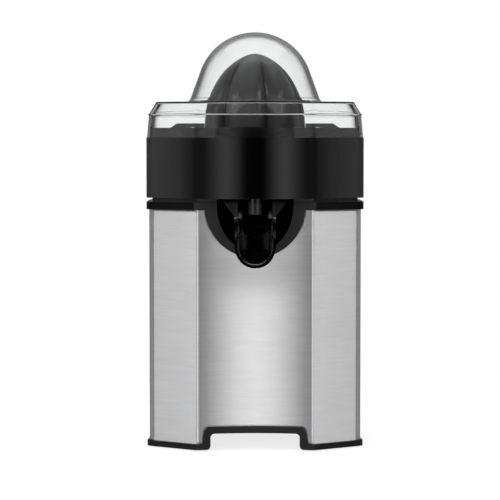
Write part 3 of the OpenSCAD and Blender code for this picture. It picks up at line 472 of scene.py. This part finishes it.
# Juice collector. Gloss black moulded plastic: the round fronted band, the sloped floor, the nozzle and the
# ears that hold the spout's pins. It lifts off the deck.
COLLECTOR_EDGE = 0.0003
WHITE = (1, 1, 1, 1)
SIDE_FADE = (0.042, 0.076)
PANEL_FADE = (0.0425, 0.054)
UNDER_FADE = (0.174, 0.177)
MATT_FADE = 0.001
MATT_ROUGH = 0.45
SMEAR = (14, 14, 20)
WAVE = (45, 45, 45)
WAVE_DEPTH = 0.0004


def gloss_black(name, shade=0.001, rough=0.08, side_rough=0.0, painted_panel_sheen=0.0, painted_under_light=0.0,
                shine=0.5, matt_from=1.0):
    """Polished black, rougher to the sides and above a height; painted light on side panels and under the
    bowl.
    """
    material, tree, point = start_material(name)
    out = abs(along(tree, point, "X"))
    height = along(tree, point, "Z")
    side = ramp(tree, out, *SIDE_FADE)
    # The panel mask lifts the colour of the band's side panels: painted sheen.
    panel = ramp(tree, out, *PANEL_FADE)
    # Under the bowl the colour is lifted: painted light on the ears and the nozzle.
    under = 1 - ramp(tree, height, *UNDER_FADE)
    matt = ramp(tree, height, matt_from, matt_from + MATT_FADE)
    smear = noise(tree, point, SMEAR, 4.0, 0.6)
    wave = noise(tree, point, WAVE, 2.0, 0.5)
    close_material(tree, {
        "Base Color": colours(tree, panel * painted_panel_sheen + under * painted_under_light + smear * 0.001,
                              (shade, shade, shade, 1), WHITE),
        "Roughness": rough + side * side_rough + matt * MATT_ROUGH + (smear - 0.5) * 0.08,
        "Specular IOR Level": shine,
        "Normal": relief(tree, wave, 0.02, WAVE_DEPTH),
    })
    return material


# band_black carries painted sheen on its side panels and painted light on the ears under its bowl.
band_black = gloss_black("band_black", side_rough=0.4, painted_panel_sheen=0.018, painted_under_light=0.03)
collector = moulded_copy("collector", "juice_collector", COLLECTOR_EDGE)
finish_piece(collector, band_black, "collector", "black_gloss", "juice_collector")


# Spout. A gloss black moulded channel with a fine slope inside its front rim. It hangs on two pins under
# the collector and tips up to stop the drip.
SPOUT_EDGE = 0.0003
SPOUT_SHINE = 0.9
EAR_MATT = 0.0058
LIP_EDGE = 0.0012
LIP_DEPTH = 0.0003
LIP_GAP = 0.00001
FACES_IN = -0.2


def lip_slope(piece):
    """Slopes the inner edge of the channel's front face back a little, so that the rim shows as a line."""
    shape = bmesh.from_edit_mesh(piece.data)
    inner = shape.verts.layers.int.new("inner")
    front = min(corner.co.y for corner in shape.verts) + LIP_GAP
    rim = [corner for corner in shape.verts if corner.co.y < front]
    top = max(corner.co.z for corner in rim)
    for corner in rim:
        out = Vector((corner.co.x, 0, corner.co.z - top))
        corner[inner] = any(face.normal.dot(out) < FACES_IN * out.length for face in corner.link_faces)
    bpy.ops.mesh.select_mode(type="FACE")
    bpy.ops.mesh.select_all(action="DESELECT")
    for face in shape.faces:
        face.select = all(corner.co.y < front for corner in face.verts)
    bpy.ops.mesh.inset(thickness=LIP_EDGE, depth=0)
    shape = bmesh.from_edit_mesh(piece.data)
    inner = shape.verts.layers.int["inner"]
    for corner in shape.verts:
        if corner[inner] and not corner.select:
            corner.co.y += LIP_DEPTH
    bmesh.update_edit_mesh(piece.data)
    bpy.ops.mesh.select_mode(type="VERT")
    bpy.ops.mesh.select_all(action="SELECT")


channel = moulded_copy("spout_channel", "spout", SPOUT_EDGE, lip_slope)
channel.data.attributes.remove(channel.data.attributes["inner"])
ear_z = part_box("spout")[1].z - EAR_MATT
spout_black = gloss_black("spout_black", shine=SPOUT_SHINE, matt_from=ear_z)
finish_piece(channel, spout_black, "spout", "black_gloss", "spout")


# Pulp basket and pulp selector. Black moulded plastic. The selector's slotted disc turns under the basket's
# floor, and its two finger tabs stand up beside the basket's rim.
BASKET_EDGE = 0.0002
SELECTOR_EDGE = 0.0004
SELECTOR_SHADE = 0.045
SELECTOR_ROUGH = 0.3
gloss = gloss_black("gloss_black")
basket = moulded_copy("basket", "pulp_basket", BASKET_EDGE)
finish_piece(basket, gloss, "basket", "black_gloss", "pulp_basket")
selector_black = gloss_black("selector_black", SELECTOR_SHADE, SELECTOR_ROUGH)
selector = moulded_copy("selector", "pulp_selector", SELECTOR_EDGE)
finish_piece(selector, selector_black, "selector", "black_gloss", "pulp_selector")


# Reamer. A black moulded cone with six rounded lobes, hollow underneath. It sits on the drive coupling and
# lifts off by hand.
REAMER_R = 0.0365
REAMER_LOBES = 6
REAMER_WALL = 0.003
REAMER_POINTS = 192
REAMER_RINGS = 40
REAMER_ANGLE = 50
RING_POWER = 1.5
VALLEY = 0.15
VALLEY_TURN = math.radians(15)
VALLEY_POWER = 2.0
FULL_SHARE = 0.74
CONE_POWER = 0.6
SWELL = 0.015
TIP_FADE = 0.014
TIP_GAP = 0.00002
FOOT_FADE = 0.022
FOOT_LEAST = 0.25
HOLLOW_FROM = 0.012
HOLLOW_DROP = 0.3
HOLLOW_LEAST_R = 0.0004
FOOT_SHARE = 0.98
LOBE_BLACK = (0.034, 0.034, 0.035, 1)
# Painted shade for the grooves between the lobes.
GROOVE_PAINTED_SHADE = (0.004, 0.004, 0.004, 1)
LOBE_CLOUD = (60, 60, 60)
LOBE_ROUGH = 0.3
LOBE_SHINE = 0.35
reamer_low, reamer_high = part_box("reamer")
reamer_h = reamer_high.z - reamer_low.z


def dull_black():
    """Dull black with a little cloud in it, and painted shade down in the grooves between the lobes."""
    material, tree, point = start_material("dull_black")
    cloud = noise(tree, point, LOBE_CLOUD, 3.0, 0.5)
    turn = tree.math("ARCTAN2", along(tree, point, "Y"), along(tree, point, "X"))
    wave = abs(tree.math("SINE", (turn - VALLEY_TURN + math.pi / 2) * (REAMER_LOBES / 2), 0))
    groove_shade = tree.math("POWER", 1 - wave, VALLEY_POWER)
    close_material(tree, {
        "Base Color": colours(tree, (1 - groove_shade) * (0.7 + cloud * 0.6), GROOVE_PAINTED_SHADE, LOBE_BLACK),
        "Roughness": LOBE_ROUGH + (cloud - 0.5) * 0.1,
        "Specular IOR Level": LOBE_SHINE,
    })
    return material


def reamer_radius(depth, turn):
    """The reamer's radius at a depth below its tip, deeper in its valleys."""
    share = min(1, depth / (reamer_h * FULL_SHARE))
    swell = 1 - SWELL + SWELL * depth / reamer_h
    ridge = math.sin(math.pi / 2 * share ** CONE_POWER) * REAMER_R * swell
    wave = abs(math.sin(REAMER_LOBES / 2 * (turn - VALLEY_TURN + math.pi / 2)))
    fade = min(1, depth / TIP_FADE) * min(1, max(FOOT_LEAST, (reamer_h - depth) / FOOT_FADE))
    return ridge * (1 - VALLEY * fade * (1 - wave) ** VALLEY_POWER)


def reamer_ring(depth, inset):
    """One ring of the reamer's outer or inner skin."""
    turns = [2 * math.pi * i / REAMER_POINTS for i in range(REAMER_POINTS)]
    reach = [max(HOLLOW_LEAST_R, reamer_radius(depth, a) - inset) for a in turns]
    drop = inset * HOLLOW_DROP if depth < reamer_h * FOOT_SHARE else 0
    z = reamer_high.z - depth - drop
    return [Vector((r * math.cos(a), r * math.sin(a), z)) for r, a in zip(reach, turns)]


outer_depths = [reamer_h * (i / REAMER_RINGS) ** RING_POWER for i in range(REAMER_RINGS + 1)]
outer_depths[0] = TIP_GAP
inner_depths = [depth for depth in reversed(outer_depths) if depth > HOLLOW_FROM]
outer_rings = [reamer_ring(depth, 0) for depth in outer_depths]
inner_rings = [reamer_ring(depth, REAMER_WALL) for depth in inner_depths]
cone = close_skin(loft("reamer_cone", outer_rings + inner_rings), fill_ends=True, angle=REAMER_ANGLE)
finish_piece(cone, dull_black(), "reamer", "black_gloss", "reamer")


# Dust cover. One clear moulded shell with a thin wall: a skirt over the collector's rim, a slanted edge, a
# flat shoulder and a round dome over the reamer. It lifts straight off.
COVER_WALL = 0.0016
COVER_IN = 0.0005
COVER_BLEND = 0.024
COVER_ANGLE = 60
BAND_OUT = 0.002
BOWL_R = 0.060
BOWL_STEPS = 28
BLEND_STEPS = 6
SKIRT_H = 0.0163
SKIRT_DRAFT = 0.0014
SLANT_H = 0.0091
SLANT_W = 0.0053
DOME_R = 0.0415
DOME_LEAN = math.radians(20)
DOME_STEPS = 24
DOME_TIP_R = 0.0003
FOOT_FLAT = 0.007
FOOT_ROUND = 0.006
FOOT_STEPS = 6
SHOULDER_FLAT = 0.004
SHOULDER_INSET = 0.6
SLANT_INSET = 0.4
COVER_EDGE = 0.0006
COVER_EDGE_STEPS = 4
ROUND_SHARE = 0.45
BEAD_R = 0.0006
BEAD_START = 100
BEAD_TURN = 190
BEAD_STEPS = 8
CLEAR = (0.98, 0.985, 0.985, 1)
BLACK = (0, 0, 0, 1)
CLEAR_IOR = 1.49
LET_THROUGH = (0.95, 0.95, 0.95, 1)
LEVEL_FADE = (0.9, 0.98)
DOME_FADE = (0.004, 0.01)
GRAZE_FADE = (0.5, 0.82)
LEVEL_CLEAR = 0.85
cover_low, cover_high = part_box("dust_cover")
slant_z = cover_low.z + SKIRT_H
shoulder_z = slant_z + SLANT_H


def soft_ramp(tree, amount, start, end):
    """A soft rise from 0 to 1 between two values."""
    return ramp(tree, amount, start, end, "SMOOTHSTEP")


def ray(tree, fact):
    """One fact about the ray that meets the surface."""
    return tree.node("ShaderNodeLightPath", {}, {}, fact)


def clear_plastic():
    """Clear plastic, dark where one looks along its wall. Soft light and shadows pass straight through."""
    material, tree, point = start_material("clear_plastic")
    facing_up = abs(along(tree, tree.node("ShaderNodeTexCoord", {}, {}, "Normal"), "Z"))
    over_dome = soft_ramp(tree, along(tree, point, "Z"), *(shoulder_z + z for z in DOME_FADE))
    flat = soft_ramp(tree, facing_up, *LEVEL_FADE) * (1 - over_dome)
    grazing = tree.node("ShaderNodeLayerWeight", {}, {"Blend": 0.5}, "Facing")
    long_way = (1 - flat * LEVEL_CLEAR) * soft_ramp(tree, grazing, *GRAZE_FADE)
    shell = tree.node("ShaderNodeBsdfPrincipled", {}, {
        "Base Color": colours(tree, long_way, CLEAR, BLACK),
        "Roughness": 0.0,
        "IOR": CLEAR_IOR,
        "Transmission Weight": 1.0,
    })
    through = tree.node("ShaderNodeBsdfTransparent", {}, {"Color": LET_THROUGH})
    soft_ray = tree.math("MAXIMUM", ray(tree, "Is Diffuse Ray"), ray(tree, "Is Shadow Ray"))
    mixed = tree.node("ShaderNodeMixShader", {}, {0: soft_ray, 1: shell, 2: through})
    tree.node("ShaderNodeOutputMaterial", {}, {"Surface": mixed})
    return material


def bowl_outline(offset):
    """The collector's outline with its round bowl and a blended crease, at an offset from the band."""
    out = BAND_OUT + offset
    start = ARRIS + (out + COVER_BLEND) * OUTWARD
    centre = start + along_panel(start, Vector((0, 0)), BOWL_R + offset + COVER_BLEND) * ALONG
    meet = math.atan2(centre.y, centre.x)
    bowl = arc((0, 0), BOWL_R + offset, -math.pi / 2, meet, BOWL_STEPS)[1:]
    crease = arc(centre, COVER_BLEND, meet + math.pi, OUTWARD_ANGLE + math.pi, BLEND_STEPS)[1:]
    rest = sides_and_rear(out)
    half = bowl + crease + stretch(crease[-1], rest[0]) + rest
    return both_halves(Vector((0, -BOWL_R - offset)), half, Vector((0, BACK_REACH + out)))


def rounded(points, radius, steps):
    """A line of points with its inner corners rounded."""
    made = [points[0]]
    for before, corner, after in zip(points, points[1:], points[2:]):
        back = before - corner
        ahead = after - corner
        trim = min(radius, ROUND_SHARE * back.length, ROUND_SHARE * ahead.length)
        first = corner + back.normalized() * trim
        last = corner + ahead.normalized() * trim
        for i in range(steps + 1):
            t = i / steps
            made.append(first * (1 - t) ** 2 + corner * 2 * t * (1 - t) + last * t * t)
    made.append(points[-1])
    return made


def bead():
    """A fine round bead along the cover's edge, between the slanted edge and the skirt."""
    start = math.radians(BEAD_START)
    end = start - math.radians(BEAD_TURN)
    return arc((-COVER_IN - SKIRT_DRAFT, slant_z), BEAD_R, start, end, BEAD_STEPS)


def cover_skin(inset):
    """Rings from the dome's top down to the skirt's lower edge, moved inwards by an inset."""
    middle = (0, cover_high.z - DOME_R)
    dome = arc(middle, DOME_R - inset, math.pi / 2, DOME_LEAN, DOME_STEPS)[1:]
    join = dome.pop()
    deck_z = shoulder_z - inset
    foot = Vector((join.x + (join.y - deck_z) * math.tan(DOME_LEAN), deck_z))
    side = rounded([join, foot, Vector((foot.x + FOOT_FLAT, deck_z))], FOOT_ROUND, FOOT_STEPS)
    profile = [Vector((DOME_TIP_R, cover_high.z - inset))] + dome + side[:-2]
    angles = [math.atan2(p.y, p.x) for p in bowl_outline(-COVER_IN)]
    rings = [[Vector((p.x * math.cos(a), p.x * math.sin(a), p.y)) for a in angles] for p in profile]
    slant_out = -COVER_IN - SKIRT_DRAFT
    slant_in = slant_out - SLANT_W
    edge = rounded([Vector((slant_in - SHOULDER_FLAT, deck_z)),
                    Vector((slant_in - inset * SHOULDER_INSET, deck_z)),
                    Vector((slant_out - inset, slant_z - inset * SLANT_INSET)),
                    Vector((-COVER_IN - inset, cover_low.z))], COVER_EDGE, COVER_EDGE_STEPS)
    if not inset:
        edge = edge[:COVER_EDGE_STEPS + 2] + bead() + edge[-1:]
    return rings + [upright_ring(bowl_outline(p.x), p.y) for p in edge[1:]]


cover = loft("cover_shell", cover_skin(0) + list(reversed(cover_skin(COVER_WALL))))
close_skin(cover, fill_ends=True, angle=COVER_ANGLE)
finish_piece(cover, clear_plastic(), "cover", "clear_plastic", "dust_cover")


# Drive, fasteners, feet and pins. Plated steel, iron, copper, bronze, nylon, rubber and plain plastics.
# They keep their turned, stamped and moulded shapes, and take a finish by what they are made of.
FINISH_DEPTH = 0.0001
FINISH_FACTS = {
    "plated_steel": ((0.55, 0.55, 0.57), (0.7, 0.7, 0.72), 0.28, 1.0, 400, 0.03),
    "core_iron": ((0.1, 0.1, 0.11), (0.2, 0.2, 0.21), 0.5, 0.8, 300, 0.1),
    "copper_wire": ((0.42, 0.17, 0.07), (0.62, 0.28, 0.12), 0.35, 0.9, 700, 0.2),
    "bronze": ((0.5, 0.34, 0.14), (0.66, 0.48, 0.22), 0.35, 1.0, 900, 0.1),
    "white_nylon": ((0.74, 0.74, 0.7), (0.82, 0.82, 0.79), 0.45, 0.0, 200, 0.04),
    "ivory_plastic": ((0.66, 0.61, 0.47), (0.75, 0.7, 0.56), 0.45, 0.0, 200, 0.04),
    "red_plastic": ((0.38, 0.04, 0.03), (0.48, 0.06, 0.05), 0.4, 0.0, 200, 0.04),
    "grey_plastic": ((0.16, 0.16, 0.17), (0.22, 0.22, 0.23), 0.45, 0.0, 500, 0.08),
    "rubber": ((0.02, 0.02, 0.02), (0.045, 0.045, 0.045), 0.75, 0.0, 1200, 0.15),
}
PIN_FACTS = ((0.006, 0.006, 0.006), (0.012, 0.012, 0.012), 0.6, 0.0, 400, 0.03)
PIN_SHINE = 0.04


def plain_finish(name, low, high, rough, metal, scale, bump, shine=0.5):
    """A finish with a little change of tone and a fine relief."""
    material, tree, point = start_material(name)
    tone = noise(tree, point, (scale, scale, scale), 4.0, 0.6)
    close_material(tree, {
        "Base Color": colours(tree, tone, (*low, 1), (*high, 1)),
        "Metallic": metal,
        "Roughness": rough + (tone - 0.5) * 0.15,
        "Specular IOR Level": shine,
        "Normal": relief(tree, tone, bump, FINISH_DEPTH),
    })
    return material


finishes = {name: plain_finish(name, *facts) for name, facts in FINISH_FACTS.items()}
finishes["black_satin"] = satin
finishes["black_gloss"] = gloss
for part in frame["record"]["subparts"]:
    if part["material_slot"] in finishes:
        shown = nodes[part["node"]]
        shown.data.materials.clear()
        shown.data.materials.append(finishes[part["material_slot"]])
nodes["spout_pins"].data.materials[0] = plain_finish("black_pin", *PIN_FACTS, PIN_SHINE)


# Floor and light. A pale round floor, white away from the juicer, in a white room. Gloss and steel reflect
# white sheets in front and beside them, the lid reflects a dimmer room, and matt pieces take their light
# from a window at the front left and from a lamp overhead.
FLOOR_R = 3
FLOOR_POINTS = 96
FLOOR_GREY = (0.4, 0.4, 0.4, 1)
FLOOR_GLOW = 0.8
FLOOR_FADE = (0.16, 0.5)
SIDE_WALL_RISE = (8, 44)
SIDE_WALL_FALL = (34, 78)
SIDE_WALL_DIM = 0.88
SIDE_WALL_TOP = (0.08, 0.2)
BACK_WALL = 0.5
BACK_WALL_RISE = (80, 100)
BACK_WALL_FOOT = (0.12, 0.25)
SHEET_SLOPE = (0.2, 0.34, 0.5, 0.64)
FRONT_SHEET = (3, 41)
FRONT_LOW = 4.6
FRONT_HIGH = 2.3
SIDE_SHEET = (36, 56, 70, 84)
SIDE_LOW = 0.3
SIDE_HIGH = 5.4
HORIZON = (-0.02, 0.02)
WINDOW = (-0.45, -0.77, 0.45)
WINDOW_FADE = (0.3, 0.95)
WINDOW_LIGHT = 1.4
ROOM_LIGHT = 0.15
LID_WALLS = (2.4, 2.6)
LID_SHEEN = 0.24
LID_SHEEN_LEAST = 0.05
LID_SHEEN_RISE = (0.1, 0.45)
LID_SIDE = 0.45
LID_SIDE_TURN = (53, 61, 80, 100)
LID_SIDE_TOP = (0.22, 0.34)
LID_EDGE = 0.3
LID_EDGE_TURN = (110, 160)
LAMP_PLACE = Vector((0, 0.1, 1.8))
LAMP_AIM = Vector((0, 0, 0.2))
LAMP_SIZE = 2.2
LAMP_WATTS = 14.0


def strip(tree, amount, rise, full, edge, end):
    """A soft strip: it rises between the first two values and falls between the last two."""
    return soft_ramp(tree, amount, rise, full) * (1 - soft_ramp(tree, amount, edge, end))


def once(tree, depth):
    """1 once a ray has bounced that way, and 0 before."""
    return tree.math("MINIMUM", ray(tree, depth), 1)


def seen_through(tree):
    """1 for what the lens sees, also through the clear cover."""
    return tree.math("MAXIMUM", ray(tree, "Is Camera Ray"), ray(tree, "Is Transmission Ray"))


bpy.ops.object.select_all(action="DESELECT")
bpy.ops.mesh.primitive_circle_add(vertices=FLOOR_POINTS, radius=FLOOR_R, fill_type="NGON")
floor = bpy.context.object
floor.name = "floor"
pale_floor, floor_tree, floor_point = start_material("pale_floor")
distance = floor_tree.node("ShaderNodeVectorMath", {"operation": "LENGTH"}, {0: floor_point}, "Value")
seen = seen_through(floor_tree) * (1 - once(floor_tree, "Glossy Depth"))
matt_grey = floor_tree.node("ShaderNodeBsdfDiffuse", {}, {"Color": FLOOR_GREY})
glow = floor_tree.node("ShaderNodeEmission", {}, {"Color": WHITE, "Strength": seen * FLOOR_GLOW})
white = floor_tree.node("ShaderNodeEmission", {}, {"Color": WHITE, "Strength": 1.0})
near_floor = floor_tree.node("ShaderNodeAddShader", {}, {0: matt_grey, 1: glow})
far = soft_ramp(floor_tree, distance, *FLOOR_FADE)
floor_mix = floor_tree.node("ShaderNodeMixShader", {}, {0: far * seen, 1: near_floor, 2: white})
floor_tree.node("ShaderNodeOutputMaterial", {}, {"Surface": floor_mix})
pale_floor.cycles.emission_sampling = "NONE"
floor.data.materials.append(pale_floor)
floor.visible_glossy = False

world = bpy.data.worlds.new("studio")
bpy.context.scene.world = world
world.use_nodes = True
world.cycles.sampling_method = "NONE"
world.node_tree.nodes.clear()
sky = Value(world.node_tree)
toward = sky.node("ShaderNodeTexCoord", {}, {}, "Generated")
rise = along(sky, toward, "Z")
slope = abs(rise)
turn = sky.math("ARCTAN2", abs(along(sky, toward, "X")), along(sky, toward, "Y") * -1) * math.degrees(1)
side_wall = soft_ramp(sky, turn, *SIDE_WALL_RISE) * (
    1 - soft_ramp(sky, turn, *SIDE_WALL_FALL) * SIDE_WALL_DIM) * (1 - soft_ramp(sky, slope, *SIDE_WALL_TOP))
back_wall = soft_ramp(sky, turn, *BACK_WALL_RISE) * soft_ramp(sky, slope, *BACK_WALL_FOOT) * BACK_WALL
above = soft_ramp(sky, rise, *HORIZON)
front_light = FRONT_LOW + above * (FRONT_HIGH - FRONT_LOW)
side_light = SIDE_LOW + above * (SIDE_HIGH - SIDE_LOW)
front_sheet = (1 - soft_ramp(sky, turn, *FRONT_SHEET)) * front_light
side_sheet = strip(sky, turn, *SIDE_SHEET) * side_light
room = side_wall + back_wall + (front_sheet + side_sheet) * strip(sky, slope, *SHEET_SLOPE)
window = sky.node("ShaderNodeVectorMath", {"operation": "DOT_PRODUCT"}, {0: toward, 1: WINDOW}, "Value")
soft_light = ROOM_LIGHT + soft_ramp(sky, window, *WINDOW_FADE) * WINDOW_LIGHT
lid_top = LID_SHEEN_LEAST + (1 - LID_SHEEN_LEAST) * soft_ramp(sky, slope, *LID_SHEEN_RISE)
lid_side = strip(sky, turn, *LID_SIDE_TURN) * (1 - soft_ramp(sky, slope, *LID_SIDE_TOP))
lid_edge = soft_ramp(sky, turn, *LID_EDGE_TURN)
lid_room = lid_top * LID_SHEEN + lid_side * LID_SIDE + lid_edge * LID_EDGE
from_inside = soft_ramp(sky, ray(sky, "Transmission Depth"), *LID_WALLS)
from_lid = ray(sky, "Is Singular Ray") * (1 - from_inside)
from_gloss = once(sky, "Glossy Depth")
from_matt = once(sky, "Diffuse Depth")
mirrored = from_lid * lid_room + (1 - from_lid) * room
straight = seen_through(sky) * (1 - from_matt) * (1 - from_gloss)
bounced = from_gloss * (1 - from_matt) * mirrored + from_matt * soft_light
backdrop = sky.node("ShaderNodeBackground", {}, {
    "Color": WHITE, "Strength": straight + (1 - straight) * bounced})
sky.node("ShaderNodeOutputWorld", {}, {"Surface": backdrop})

lamp = bpy.data.lights.new("top_box", "AREA")
lamp.shape = "RECTANGLE"
lamp.size = LAMP_SIZE
lamp.size_y = LAMP_SIZE
lamp.energy = LAMP_WATTS
stand = bpy.data.objects.new("top_box", lamp)
bpy.context.scene.collection.objects.link(stand)
stand.visible_glossy = False
stand.location = LAMP_PLACE
stand.rotation_euler = (LAMP_AIM - LAMP_PLACE).to_track_quat("-Z", "Y").to_euler()
